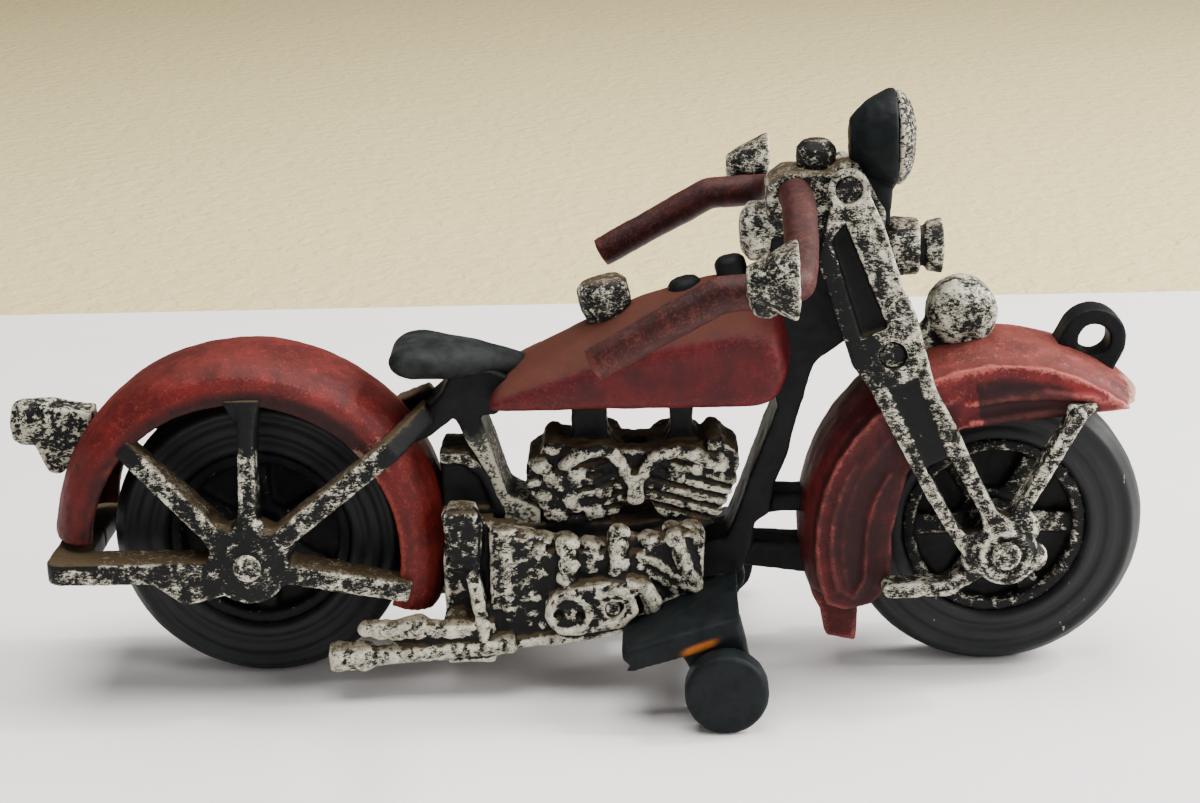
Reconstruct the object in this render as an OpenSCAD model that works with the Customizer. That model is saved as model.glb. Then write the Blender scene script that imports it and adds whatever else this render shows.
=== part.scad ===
// Cast toy motorcycle with spoked wheels and two small stabiliser wheels.
// X points forward, Y to the rider's left, Z up; the ground is at z = 0.

/* [Wheels] */
// Outer diameter of the front and rear tyres
wheel_d = 57; // [48:0.5:68]
// Width of the front and rear tyres
tyre_w = 12; // [9:0.5:14]
// Diameter of the spoked wheel centre inside each tyre
rim_d = 35; // [30:0.5:38]
// Width of the spoked wheel centre at its rim
rim_w = 10; // [7:0.5:12]
// Diameter of each wheel hub
hub_d = 11; // [9:0.5:12]
// Number of spokes in each wheel
spokes = 6; // [4:1:8]
// Width of one spoke
spoke_w = 4.2; // [3:0.2:5]
// Diameter of the front and rear axles
axle_d = 4.4; // [3.4:0.1:5.4]
// Radial running clearance between a turning piece and its bearing
running = 0.08; // [0.04:0.01:0.1]
// Side gap between a turning hub and the casting beside it
side_gap = 0.4; // [0.3:0.05:0.8]

/* [Stabiliser wheels] */
// Diameter of the two small stabiliser wheels
stab_d = 15.4; // [12:0.2:18]
// Width of one stabiliser wheel
stab_w = 5; // [4:0.5:7]
// Distance of the stabiliser wheels' outer faces from the centre plane
stab_face = 35; // [33:0.5:40]
// Diameter of the stabiliser axle
stab_axle_d = 3.2; // [2.4:0.1:4]
// Distance of the stabiliser axle ahead of the middle of the wheelbase
stab_station = 18.2; // [16:0.2:20]

/* [Layout] */
// Distance between the front and rear axles
wheelbase = 140.5; // [128:0.5:170]
// Reach of the tail lamp behind the rear axle
tail_reach = 46.5; // [44:0.5:56]
// Length of a fork blade from the front axle to its top pin
fork_length = 73.2; // [68:0.2:88]
// Rake of the fork, in degrees from the vertical
fork_rake = 23; // [20:0.5:26]
// Inward lean of each fork blade, in degrees
fork_splay = 8; // [6:0.5:8.5]

/* [Castings] */
// Radial room between the rear tyre and the inside of its fender
fender_room = 6.5; // [4:0.5:8]
// Radial room between the front tyre and the inside of its fender
front_room = 5.8; // [4:0.2:8]
// Wall of the fenders and of the fuel tank
wall = 3; // [2:0.25:4]
// Half width of the rear fender
rear_fender_half = 13.5; // [12:0.25:14]
// Half width of the front fender
front_fender_half = 14.5; // [13.5:0.25:15]
// Distance of the rear stays' inner faces from the centre plane
stay_in = 11.5; // [10.5:0.25:12]
// Distance of the rear stays' outer faces from the centre plane
stay_out = 19.5; // [18:0.25:21]
// Distance of the fork blades' inner faces from the centre plane
blade_in = 14; // [12.5:0.25:14.25]
// Distance of the fork blades' outer faces from the centre plane
blade_out = 19.5; // [18:0.25:21]
// Depth of the upper sunk panels in the fork blades
blade_recess = 2.2; // [1:0.1:3]
// Depth of the lower sunk panels in the fork blades
lower_recess = 0.5; // [0.3:0.1:1.4]
// Diameter of the two pins across the fork
fork_pin_d = 5; // [3.5:0.1:6]
// Half width of the fuel tank
tank_half = 14; // [12:0.25:15]
// Half width of the crankcase
case_half = 14.5; // [13:0.25:15]
// Diameter of the rivet through the crankcase
rivet_d = 3; // [2.5:0.1:4]
// Distance of the footboards' outer edges from the centre plane
board_out = 30; // [28:0.5:31]
// Thickness of the footboards
board_t = 3; // [2.5:0.25:4]
// Diameter of the exhaust pipe
exhaust_d = 5.4; // [4.5:0.1:6]

/* [Handlebar and lamps] */
// Diameter of the handlebar
bar_d = 6.4; // [5:0.2:7]
// Distance of the handlebar's bends from the centre plane
bar_half = 40; // [36:0.5:44]
// Diameter of the handlebar lamps at their rims
bar_lamp_d = 13.4; // [11:0.2:15]
// Diameter of the headlamp at its rim
headlamp_d = 17.8; // [15:0.2:20]
// Diameter of the lamp on the front fender
fender_lamp_d = 13; // [11:0.2:15]
// Outer diameter of the tow ring
ring_d = 11.9; // [11:0.1:14]
// Diameter of the hole in the tow ring
ring_hole_d = 6; // [4:0.2:7]
// Thickness of the tow ring along Y
ring_w = 6.5; // [5:0.5:9]

/* [Hidden] */
$fn = 48;

axle_z = wheel_d / 2;
wheel_r = wheel_d / 2;
stab_r = stab_d / 2;
// The origin lies under the middle of the overall length.
overall = tail_reach + wheelbase + wheel_r;
rear_x = tail_reach - overall / 2;
front_x = rear_x + wheelbase;
mid_x = (rear_x + front_x) / 2;
fender_r = wheel_r + fender_room + wall;
front_fender_r = wheel_r + front_room + wall;

// Half length of the open bay between the two fenders, and the half length
// for which the stations of the middle castings are drawn.
bay = wheelbase / 2 - wheel_r - 9;
bay_drawn = 32.75;

// Heights below are measured from the line through the two axles.
// r(), m() and f() place a station from the rear axle, from the middle of
// the bay, and from the front axle.
function r(x) = rear_x + x;
function m(x) = mid_x + x * bay / bay_drawn;
function f(x) = front_x + x;
// Place of the fork's top pin, from which the bars and lamps are placed.
head_x = f(-fork_length * cos(fork_splay) * sin(fork_rake));
head_z = fork_length * cos(fork_splay) * cos(fork_rake);
// The front hub stops short of the leaning blades.
front_hub_half = blade_in - hub_d / 2 * tan(fork_splay) - side_gap;
stab_x = m(stab_station);
stab_z = stab_r - axle_z;

RED = [0.55, 0.13, 0.12];
SILVER = [0.66, 0.65, 0.60];
BLACK = [0.10, 0.11, 0.11];

// ---------- helpers ----------

// Extrudes a side view (x forward, z up) on the right side, from y_in to y_out.
module side_plate(y_in, y_out) {
    translate([0, -y_in, 0])
        rotate([90, 0, 0])
            linear_extrude(y_out - y_in)
                children();
}

// A bar of width w in side view from p to q, with round ends.
module bar2d(p, q, w) {
    a = atan2(q[1] - p[1], q[0] - p[0]);
    polygon(concat(
        arc_pts(p, w / 2, a + 90, a + 270, 8),
        arc_pts(q, w / 2, a - 90, a + 90, 8)
    ));
}

// A round rod along Y between y0 and y1, at side-view place p.
module y_rod(p, d, y0, y1) {
    translate([p[0], y1, p[1]])
        rotate([90, 0, 0])
            cylinder(d = d, h = y1 - y0);
}

// A round body along X that starts at p (x, y, z).
module x_cone(p, d1, d2, h) {
    translate(p)
        rotate([0, 90, 0])
            cylinder(d1 = d1, d2 = d2, h = h);
}

// Lifts a piece drawn from the axle line to its height above the ground.
module lift() {
    translate([0, 0, axle_z]) children();
}

module left() {
    mirror([0, 1, 0]) children();
}

// Points on a circle of radius rad about c, from angle a0 to a1 in n steps.
function arc_pts(c, rad, a0, a1, n) = [
    for (i = [0 : n])
        let (a = a0 + (a1 - a0) * i / n)
            [c[0] + rad * cos(a), c[1] + rad * sin(a)]
];

// ---------- wheels ----------

// Half section of a fender shell as radius against depth: a rounded crown of
// radius rad that comes down to edge_r at its half width.
function shell_pts(rad, edge_r, half, t) = concat(
    [for (i = [0 : 6]) shell_pt(rad, edge_r, half, i * 15)],
    [for (i = [6 : -1 : 0]) shell_pt(rad - t, edge_r, half - t, i * 15)]
);
function shell_pt(rad, edge_r, half, a) = [
    edge_r + (rad - edge_r) * pow(max(cos(a), 0), 0.75),
    half * pow(sin(a), 0.9)
];

// Spoked wheel centre about the Y axis with a thin floor between its
// spokes; first_a turns the spokes.
module wheel_centre(hub_half, first_a) {
    ring_t = 2.4;
    web_t = rim_w - 3.4;
    floor_t = 2.4;
    rotate([90, first_a, 0])
        difference() {
            union() {
                translate([0, 0, -hub_half]) cylinder(d = hub_d, h = 2 * hub_half);
                cylinder(d = hub_d + 3, h = web_t, center = true);
                cylinder(d = rim_d - ring_t, h = floor_t, center = true);
                difference() {
                    cylinder(d = rim_d, h = rim_w, center = true);
                    cylinder(d = rim_d - 2 * ring_t, h = rim_w + 1, center = true);
                }
                for (i = [0 : spokes - 1])
                    rotate(i * 360 / spokes)
                        translate([hub_d / 4, -spoke_w / 2, -web_t / 2])
                            cube([rim_d / 2 - ring_t / 2 - hub_d / 4, spoke_w, web_t]);
            }
            cylinder(d = axle_d + 2 * running, h = 2 * hub_half + 2, center = true);
        }
}

// Tyre about the Y axis: rounded tread and two ridges on each sidewall.
module tyre() {
    half = tyre_w / 2;
    b = rim_d / 2;
    t = wheel_r - b;
    flank = [
        [0, -0.8], [0.1 * t, -0.1], [0.28 * t, -0.1], [0.36 * t, -0.8],
        [0.52 * t, -0.8], [0.58 * t, -0.2], [0.72 * t, -0.3], [0.86 * t, -1.3],
        [0.95 * t, -2.6]
    ];
    rotate([90, 0, 0])
        rotate_extrude($fn = 96)
            polygon(concat(
                [for (p = flank) [b + p[0], half + p[1]]],
                [[wheel_r, half - 4.2], [wheel_r, -half + 4.2]],
                [for (i = [len(flank) - 1 : -1 : 0]) [b + flank[i][0], -half - flank[i][1]]]
            ));
}

module rear_wheel() {
    color(SILVER) lift() translate([rear_x, 0, 0]) wheel_centre(stay_in - side_gap, 30);
}

module rear_tyre() {
    color(BLACK) lift() translate([rear_x, 0, 0]) tyre();
}

module front_wheel() {
    color(SILVER) lift() translate([front_x, 0, 0]) wheel_centre(front_hub_half, 0);
}

module front_tyre() {
    color(BLACK) lift() translate([front_x, 0, 0]) tyre();
}

// An axle with a peened head proud of the casting at each end.
module axle(x, half) {
    color(SILVER) lift() {
        y_rod([x, 0], axle_d, -half - 0.2, half + 0.2);
        for (s = [-1, 1])
            translate([x, s * (half + 0.6), 0])
                rotate([90, 0, 0])
                    cylinder(d = axle_d + 1, h = 1.2, center = true);
    }
}

module rear_axle() {
    axle(rear_x, stay_out);
}

module front_axle() {
    axle(front_x, blade_out + boss_face);
}

// ---------- rear end ----------

module rear_fender_half() {
    lift() translate([r(-1.5), 0, 0])
        rotate([90, 0, 0])
            rotate([0, 0, -22])
                rotate_extrude(angle = 198, $fn = 96)
                    polygon(shell_pts(fender_r, wheel_r + 0.8, rear_fender_half, wall));
}

module rear_fender_right() {
    color(RED) rear_fender_half();
}

module rear_fender_left() {
    color(RED) left() rear_fender_half();
}

// One sloping arm of the rear casting in side view from p to q, of width w;
// y0 and y1 hold its inner and outer faces at the two ends.
module stay_arm(p, q, w, y0, y1) {
    a = atan2(q[1] - p[1], q[0] - p[0]);
    hull() {
        side_plate(y0[0], y0[1])
            translate(p) rotate(a) translate([0, -w / 2]) square([2, w]);
        side_plate(y1[0], y1[1])
            translate(q) rotate(a) translate([-1, -w / 2]) square([1, w]);
    }
}

// An arm that starts on the hub boss, clear of the turning hub.
module hub_arm(q, w, y1) {
    stay_arm(q / norm(q) * (hub_d / 2 + 0.5), q, w, [stay_in, stay_out - 0.3], y1);
}

module rear_stay_half() {
    plate_x = -38.3;
    plate_in = -wheel_r - 2.6;
    lift() translate([rear_x, 0, 0])
        difference() {
            union() {
                side_plate(stay_in, stay_out) {
                    circle(d = 15);
                    polygon([[-19, -2.8], [-12.3, -7.8], [1, -4.5], [0, 0], [-12, 0.8]]);
                    translate([plate_x + 3, -3.3]) square([-plate_x - 3, 4.1]);
                }
                hub_arm([-23.2, 21.7], 3.8, [9.5, 14]);
                hub_arm([0.8, wheel_r + 0.5], 3.2, [9.5, 14.3]);
                side_plate(9.5, 13.8)
                    polygon([[-0.8, 24], [2.4, 24], [3.4, wheel_r + 2], [-3.8, wheel_r + 2]]);
                hub_arm([27.8, 21.2], 4, [11.5, 16.5]);
                stay_arm([26, 19.8], [34, 25.6], 4, [11.5, 16.5], [3, 8]);
                hub_arm([29.4, -7.8], 4, [9.5, 15]);
                translate([plate_x, -stay_out + 3, -3.3])
                    cube([plate_in - plate_x, stay_out - 3, 4.1]);
                translate([plate_x + 3, -stay_out + 3, -3.3])
                    cylinder(r = 3, h = 4.1);
                translate([plate_x + 3, -stay_out, -3.3])
                    cube([3.2, 6, 4.1]);
            }
            y_rod([0, 0], axle_d, -stay_out - 1, 0);
        }
}

module rear_stay_right() {
    color(SILVER) rear_stay_half();
}

module rear_stay_left() {
    color(SILVER) left() rear_stay_half();
}

module tail_lamp() {
    color(BLACK) lift() translate([r(-tail_reach), 0, 23]) {
        x_cone([0, 0, 0], 7.6, 9, 2);
        x_cone([2, 0, 0], 9, 9, 6);
        side_plate(-3.5, 3.5)
            polygon([
                [4, -3], [6.5, -9.5], [9, -9.8], [12, -6], [tail_reach - 31, -6],
                [tail_reach - 31, 2.6], [11, 3.2], [6, 4.2]
            ]);
    }
}

// ---------- middle castings ----------

// Side view of the tank on the centre plane and at its flank.
tank_ridge = [
    [m(-25.7), 27.6], [m(-22.5), 31.5], [m(-17.5), 35], [m(-5.2), 41.2], [m(3.7), 45],
    [m(14.7), 48.3], [m(23.5), 50], [m(29.5), 48], [m(32.5), 38], [m(31), 30], [m(27.5), 28]
];
tank_flank = [
    [m(-25.5), 27], [m(-23.5), 29.8], [m(-16), 32.6], [m(-5), 36.2], [m(8), 39.5], [m(22), 41.5],
    [m(29), 39.5], [m(30.5), 33.5], [m(28.5), 28.4], [m(25), 27]
];
tank_cavity = [
    [m(-17), 30.8], [m(-4), 37], [m(14), 42], [m(27), 41.5], [m(28), 33], [m(24), 31]
];

module tank_half() {
    lift()
        difference() {
            hull() {
                side_plate(0, 3) polygon(tank_ridge);
                side_plate(3, tank_half - 0.9) offset(delta = -0.2) polygon(tank_flank);
                side_plate(tank_half - 4, tank_half) offset(delta = -0.9) polygon(tank_flank);
                side_plate(2, tank_half - 2.2) polygon(tank_flank);
            }
            side_plate(-1, tank_half - wall) polygon(tank_cavity);
        }
}

module tank_right() {
    color(RED) tank_half();
}

module tank_left() {
    color(RED) left() tank_half();
}

module fuel_cap() {
    color(SILVER) lift() translate([m(-1.7), 0, 39.5])
        rotate([0, -12, 0]) {
            cylinder(d1 = 7.2, d2 = 9.6, h = 4.5);
            translate([0, 0, 4.5]) cylinder(d = 9.8, h = 4);
            translate([0, 0, 8.5]) cylinder(d1 = 9.8, d2 = 7.6, h = 1.2);
        }
}

module tank_knobs() {
    color(BLACK) lift()
        for (k = [[12.5, 45.5, 6.4, 3.4], [21.4, 48, 6, 5]])
            translate([m(k[0]), 0, k[1]])
                rotate([0, -14, 0]) {
                    cylinder(d = k[2], h = k[3] - 1);
                    translate([0, 0, k[3] - 1]) cylinder(d1 = k[2], d2 = k[2] - 2, h = 1);
                }
}

module saddle() {
    color(BLACK) lift()
        hull() {
            translate([m(-38.5), 5.2, 34.9]) scale([1.1, 1, 0.65]) sphere(r = 4.8, $fn = 28);
            translate([m(-38.5), -5.2, 34.9]) scale([1.1, 1, 0.65]) sphere(r = 4.8, $fn = 28);
            translate([m(-29), 0, 34.4]) scale([1, 1.3, 0.6]) sphere(r = 5, $fn = 28);
            translate([m(-20), 0, 32.6]) scale([1, 1.3, 0.8]) sphere(r = 3, $fn = 28);
        }
}

// Frame beside the centre plane: seat cluster, seat post, neck, down tube
// and the two webs that join it to the front fender.
module frame_half() {
    half = 6.5;
    web_half = 4;
    lift() {
        side_plate(0, half) {
            polygon([
                [r(30.5), 19], [r(32), 24.5], [m(-34), 28.5], [m(-32), 33], [m(-24), 33.2],
                [m(-18), 30], [m(-24), 24.5], [m(-31), 24.5], [r(34), 20.5]
            ]);
            polygon([
                [m(-31.5), 23.5], [m(-27), 25.5], [m(-26), 21], [m(-22), 8.2], [m(-16.2), 5.6],
                [m(-16.2), 2.4], [m(-22.6), 2.4], [m(-25.6), 12], [m(-29.4), 19]
            ]);
            polygon([
                [m(29), 25], [m(27), 36], [head_x - 14, head_z - 9], [head_x - 3, head_z - 9],
                [head_x + 1, head_z - 28], [m(36), 33.5], [m(33.3), 25], [m(31), 16],
                [m(28.5), 9.5], [m(27.5), 4], [m(24.5), 2], [m(24), -2.5], [m(22), -8],
                [m(14), -9], [m(13), -2],
                [m(19), -1], [m(20.7), 2.5], [m(25.2), 15]
            ]);
        }
        side_plate(0, web_half) {
            polygon([[m(24), 3], [m(26), 7], [f(2 - front_fender_r), 7], [f(2 - front_fender_r), 3.2]]);
            polygon([[m(22), -7.5], [m(22), -2.4], [f(2 - front_fender_r), -3.2], [f(2 - front_fender_r), -9.5]]);
        }
    }
}

module frame_right() {
    color(BLACK) frame_half();
}

module frame_left() {
    color(BLACK) left() frame_half();
}

module battery_box() {
    box_half = 6.5;
    color(BLACK) lift()
        difference() {
            side_plate(-box_half, box_half)
                polygon([
                    [m(-35), 4], [m(-35), 17.2], [m(-29.5), 17], [m(-25.8), 13], [m(-22), 4]
                ]);
            for (s = [-1, 1])
                translate([0, s * box_half, 0])
                    side_plate(-1.2, 1.2)
                        polygon([
                            [m(-37), 6], [m(-37), 15], [m(-30.5), 15], [m(-27.4), 12], [m(-25), 6]
                        ]);
        }
}

// Side views of the two finned cylinders, with the fins' slope in degrees.
cyl_front = [
    [m(4.6), 17], [m(8.6), 18], [m(15.2), 18.2], [m(16.2), 19.6], [m(17.9), 19.4], [m(18.9), 18],
    [m(21.6), 16.2], [m(21.9), 14], [m(21), 11], [m(19), 6.4], [m(16.4), 2.1], [m(14.4), 0.6],
    [m(11), 2], [m(8.3), 3], [m(6.4), 5.2], [m(5), 7], [m(3.2), 8.5], [m(3.2), 14]
];
cyl_rear = [
    [m(-15.5), 17], [m(-15), 18.8], [m(-13.3), 19.2], [m(-11.3), 18.4], [m(-2.7), 18.2],
    [m(0), 15.5], [m(0.8), 12], [m(0.2), 8], [m(-1.6), 5], [m(-3), 2.6], [m(-5.1), 1.2],
    [m(-9.1), 0.5], [m(-11.8), 1.2], [m(-14), 2.4], [m(-15.4), 5], [m(-16.2), 7.6],
    [m(-18), 10], [m(-18.6), 12.8], [m(-18.2), 15.3]
];
// Half widths of the cylinders' cores and of their fins, and the fins' pitch.
cylinder_half = 6;
fin_half = 7.2;
fin_pitch = 2.4;

module finned(outline, centre, slope) {
    side_plate(0, cylinder_half) polygon(outline);
    for (i = [-3 : 1])
        intersection() {
            side_plate(0, fin_half) offset(delta = 0.4) polygon(outline);
            translate([centre[0], 0, centre[1] + i * fin_pitch])
                rotate([0, slope, 0])
                    cube([30, 30, 1.3], center = true);
        }
}

module cylinders_half() {
    lift() {
        finned(cyl_front, [m(12.7), 10.6], 16);
        finned(cyl_rear, [m(-9), 10.6], -14);
        // inlet pipe between the heads, with the carburettor below it
        side_plate(2, fin_half - 0.6) {
            translate([m(-3), 13.5]) square([m(6) - m(-3), 3.8]);
            translate([m(0.2), 7.2]) square([m(3.9) - m(0.2), 8]);
        }
        // posts that carry the tank
        side_plate(0.5, 3.5) {
            polygon([
                [m(-11.5), 17], [m(-9.8), 19.6], [m(-9.8), 29], [m(-3.1), 29], [m(-3.1), 20],
                [m(-2), 17.4]
            ]);
            polygon([
                [m(7.4), 17], [m(8.8), 20], [m(8.8), 29], [m(13.1), 29], [m(13.1), 20.6],
                [m(14.4), 17.4]
            ]);
        }
    }
}

module cylinders_right() {
    color(SILVER) cylinders_half();
}

module cylinders_left() {
    color(SILVER) left() cylinders_half();
}

rivet_p = [m(-2.5), -10.5];

module crankcase_half() {
    lift()
        difference() {
            union() {
                side_plate(0, case_half)
                    polygon([
                        [m(-25.5), 3.6], [m(-19), 2.6], [m(-14.5), -0.2], [m(2.3), -0.4], [m(8), 2.4],
                        [m(13.5), 3.4], [m(15), 2], [m(14.4), -6.4], [m(12.7), -8.4], [m(5.4), -11.4],
                        [m(2), -14.5], [m(-1.4), -16], [m(-9.2), -18.4], [m(-17.4), -18.8],
                        [m(-25.7), -20.2]
                    ]);
                side_plate(0, 7)
                    polygon([
                        [m(-19.5), -3], [m(-19.5), 3], [m(-14), 2.6], [m(2), 2.4], [m(8), 3.4],
                        [m(14.6), 2.2], [m(13.8), -3]
                    ]);
                // timing cover
                side_plate(case_half - 1.5, case_half + 3.5)
                    bar2d([m(-10.5), -11], [m(-3), -9.8], 9.6);
                // tappet blocks and the slanted oil pump
                for (t = [[-11, 9.4], [-1.3, 11]])
                    translate([m(t[0]), -case_half + 0.6, -7])
                        cylinder(d = 4, h = t[1]);
                side_plate(case_half - 2, case_half + 1.5)
                    bar2d([m(9.2), 2.5], [m(12.2), -6], 3);
            }
            y_rod(rivet_p, rivet_d, -30, 1);
        }
}

module crankcase_right() {
    color(SILVER) crankcase_half();
}

module crankcase_left() {
    color(SILVER) left() crankcase_half();
}

module body_rivet() {
    color(SILVER) lift() y_rod(rivet_p, rivet_d, -case_half - 3, case_half + 3);
}

module gearbox_half() {
    lift() {
        side_plate(0, 12)
            polygon([[m(-34.5), -21], [m(-34.5), -2], [m(-33), 5], [m(-25), 5], [m(-25), -20.2]]);
        // ribbed lever quadrant with the kick lever below it
        side_plate(10, 14.5)
            polygon([
                [m(-34.2), 7.6], [m(-32.6), 9.3], [m(-28.2), 9.2], [m(-26.6), 5],
                [m(-27), -0.5], [m(-28.6), -4], [m(-32.6), -3.8], [m(-33.7), 2.2]
            ]);
        for (i = [0 : 4])
            translate([m(-33.8), -15.7, -2.6 + i * 2.4])
                cube([m(-27.4) - m(-33.8), 2, 1.3]);
        side_plate(11, 17)
            bar2d([m(-28.6), -4], [m(-27), -15.6], 2.4);
        // round post beside the quadrant
        translate([m(-22.5), -12.5, -12]) cylinder(d = 4.6, h = 16.5);
        side_plate(8, 13)
            polygon([[m(-25.5), -20.2], [m(-25.5), 4.5], [m(-20.5), 4.5], [m(-20.5), -19.5]]);
    }
}

module gearbox_right() {
    color(SILVER) gearbox_half();
}

module gearbox_left() {
    color(SILVER) left() gearbox_half();
}

// Main silencer and the short upper pipe, both running back past the wheel.
module exhaust_half() {
    pipe_y = -16.6;
    pipe_rise = 4.5;
    lift() {
        x_cone([r(14), pipe_y, -19.6], exhaust_d, exhaust_d, 8);
        translate([r(20), pipe_y, -19.8])
            rotate([0, 90 - pipe_rise, 0])
                cylinder(d = exhaust_d - 1.6, h = m(-21) - r(20));
        x_cone([r(23), pipe_y + 0.5, -14.6], 3.8, 3.8, m(-29) - r(23));
        translate([m(-34), pipe_y, -21.5]) cube([m(-24.8) - m(-34), 7, 8]);
    }
}

module exhaust_right() {
    color(SILVER) exhaust_half();
}

module exhaust_left() {
    color(SILVER) left() exhaust_half();
}

// Footboard that rises to the front, with the stabiliser's leg under it.
module footboard_half() {
    leg_in = 23;
    leg_out = stab_face - stab_w - 0.8;
    low = [m(-0.8), -17];
    high = [m(20.8), -10.6];
    lift()
        difference() {
            union() {
                hull() {
                    side_plate(board_out - 1, board_out)
                        polygon([
                            low + [2, 0], high, high + [0, board_t],
                            low + [0, board_t], low + [0, 1.5]
                        ]);
                    side_plate(case_half - 2, case_half)
                        polygon([low, high + [0, 3], high + [0, 3 + board_t], low + [0, board_t]]);
                }
                side_plate(leg_in, leg_out) {
                    polygon([
                        [stab_x - 8, -15.2], [stab_x - 5.2, stab_z], [stab_x, stab_z - 4],
                        [stab_x + 5.2, stab_z], [stab_x + 3, -9.4]
                    ]);
                    translate([stab_x, stab_z]) circle(r = stab_r - 2);
                }
            }
            y_rod([stab_x, stab_z], stab_axle_d + 2 * running, -board_out - 1, 0);
        }
}

module footboard_right() {
    color(BLACK) footboard_half();
}

module footboard_left() {
    color(BLACK) left() footboard_half();
}

// ---------- stabiliser wheels ----------

module stabiliser_axle() {
    color(BLACK) lift() y_rod([stab_x, stab_z], stab_axle_d, -stab_face + 1.5, stab_face - 1.5);
}

module stab_wheel() {
    lift() translate([stab_x, 0, stab_z])
        rotate([90, 0, 0])
            difference() {
                union() {
                    translate([0, 0, stab_face - stab_w]) cylinder(r = stab_r, h = stab_w - 0.7);
                    translate([0, 0, stab_face - 0.7])
                        cylinder(r1 = stab_r, r2 = stab_r - 0.7, h = 0.7);
                }
                translate([0, 0, stab_face - stab_w - 1]) cylinder(d = stab_axle_d, h = stab_w - 0.5);
            }
}

module stabiliser_wheel_right() {
    color(BLACK) stab_wheel();
}

module stabiliser_wheel_left() {
    color(BLACK) left() stab_wheel();
}

// ---------- front end ----------

module front_fender_half() {
    skirt = concat(
        [[14.8, 25], [-7.9, 22.5], [-17.5, 14.5], [-20.3, 2], [-20.6, -8.5],
         [-24, -12], [-29, -13]],
        arc_pts([0, 0], front_fender_r - 2.6, 200, 48, 16)
    );
    lift() translate([front_x, 0, 0]) {
        difference() {
            rotate([90, 0, 0])
                rotate([0, 0, 45])
                    rotate_extrude(angle = 153, $fn = 96)
                        polygon(shell_pts(front_fender_r, wheel_r + 0.8, front_fender_half, wall));
            // the front edge runs nearly level
            side_plate(-1, front_fender_half + 1)
                polygon([[14, 24.8], [wheel_r + 12, 27.6], [wheel_r + 12, 4], [14, 4]]);
        }
        side_plate(front_fender_half - wall + 0.4, front_fender_half - 0.4) polygon(skirt);
        // narrow tongue behind the tyre
        side_plate(0, 7)
            polygon([
                [-34.5, -7], [-35.1, -12], [-33, -16.4], [-32.2, -21.2], [-26.3, -22.4],
                [-25.9, -15.6], [-31.5, -9]
            ]);
    }
}

module front_fender_right() {
    color(RED) front_fender_half();
}

module front_fender_left() {
    color(RED) left() front_fender_half();
}

// Fork blade drawn upright over the front axle, leaned in and raked back.
// mid_pin is the middle pin's place in the blade's own plane.
mid_pin = [-4.5, fork_length - 31];

module blade_outline() {
    top = fork_length;
    polygon([
        [6, -1], [5.6, 3], [1.7, 7.8], [1.1, 15.6], [1, 24.6], [0.2, 33.5], [2.2, top - 26.2],
        [2.2, top - 19.3], [3.2, top - 8.6], [3, top - 1], [-4.3, top - 1.5], [-10.3, top - 9.5],
        [-12.1, mid_pin[1] + 1.3], [-11.2, mid_pin[1] - 2.2], [-10.8, mid_pin[1] - 4.7],
        [-10.2, 28.3], [-9.2, 15.2], [-8, 6.3], [-7, 1.3], [-4.7, -4], [1, -5.4]
    ]);
    translate([0, top]) circle(r = 3.8);
    circle(r = 6);
}

// Height of the boss face under the front axle's head.
boss_face = 0.5;

// Half distance between the blades' outer faces at a place along the blade.
function blade_half(u) = blade_out - u * sin(fork_splay);

module fork_blade_half() {
    top = fork_length;
    boss_r = 5.2;
    lift() translate([front_x, 0, 0])
        difference() {
            union() {
                rotate([0, -fork_rake, 0])
                    translate([0, -blade_out, 0])
                        rotate([-fork_splay, 0, 0])
                            translate([0, blade_out, 0]) leaning_blade(top, boss_r);
                // square boss faces for the wheel hub and the axle's head
                y_rod([0, 0], hub_d + 1, -blade_out, -front_hub_half - side_gap);
                y_rod([0, 0], axle_d + 4, -blade_out - boss_face, -blade_out + 1);
                // struts to the fender
                side_plate(front_hub_half + side_gap, blade_out - 1) {
                    bar2d([1.5, 5], [13, 26], 2.6);
                    bar2d([-3.5, -3], [-10.5, -7.4], 2.8);
                    bar2d([-10.5, -7.4], [-21, -7.6], 2.8);
                }
                side_plate(front_hub_half + side_gap, blade_out - 3)
                    polygon([[10.8, 23.6], [13.6, 23.6], [17, 27.4], [11.4, 27.4]]);
            }
            y_rod([0, 0], axle_d, -blade_out - 1, 0);
            rotate([0, -fork_rake, 0]) {
                y_rod([0, top * cos(fork_splay)], fork_pin_d, -blade_out, 0);
                y_rod([mid_pin[0], mid_pin[1] * cos(fork_splay)], fork_pin_d, -blade_out, 0);
            }
        }
}

// The blade before it is leaned: a plate with two sunk panels, the collars
// of its pins and an open slot beside the wheel.
module leaning_blade(top, boss_r) {
    difference() {
        side_plate(blade_in, blade_out) blade_outline();
        side_plate(blade_out - blade_recess, blade_out + 1)
            polygon([
                [-8.5, mid_pin[1] + boss_r], [-3.4, mid_pin[1] + boss_r],
                [-3, top - 5], [-6.5, top - 7]
            ]);
        side_plate(blade_out - lower_recess, blade_out + 1)
            polygon([
                [-7.2, 20], [-2.4, 20], [-2, mid_pin[1] - boss_r], [-8, mid_pin[1] - boss_r]
            ]);
        side_plate(blade_in - 1, blade_out + 1)
            polygon([
                [-5.2, 5.8], [-2.2, 5.5], [-1.3, 8], [-2.4, 20.6], [-7.2, 20.6], [-6, 8]
            ]);
    }
}

module fork_blade_right() {
    color(SILVER) fork_blade_half();
}

module fork_blade_left() {
    color(SILVER) left() fork_blade_half();
}

module fork_pins() {
    color(BLACK) lift() translate([front_x, 0, 0])
        rotate([0, -fork_rake, 0]) {
            for (p = [[0, fork_length], mid_pin])
                y_rod([p[0], p[1] * cos(fork_splay)], fork_pin_d,
                    0.7 - blade_half(p[1]), blade_half(p[1]) - 0.7);
        }
}

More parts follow.
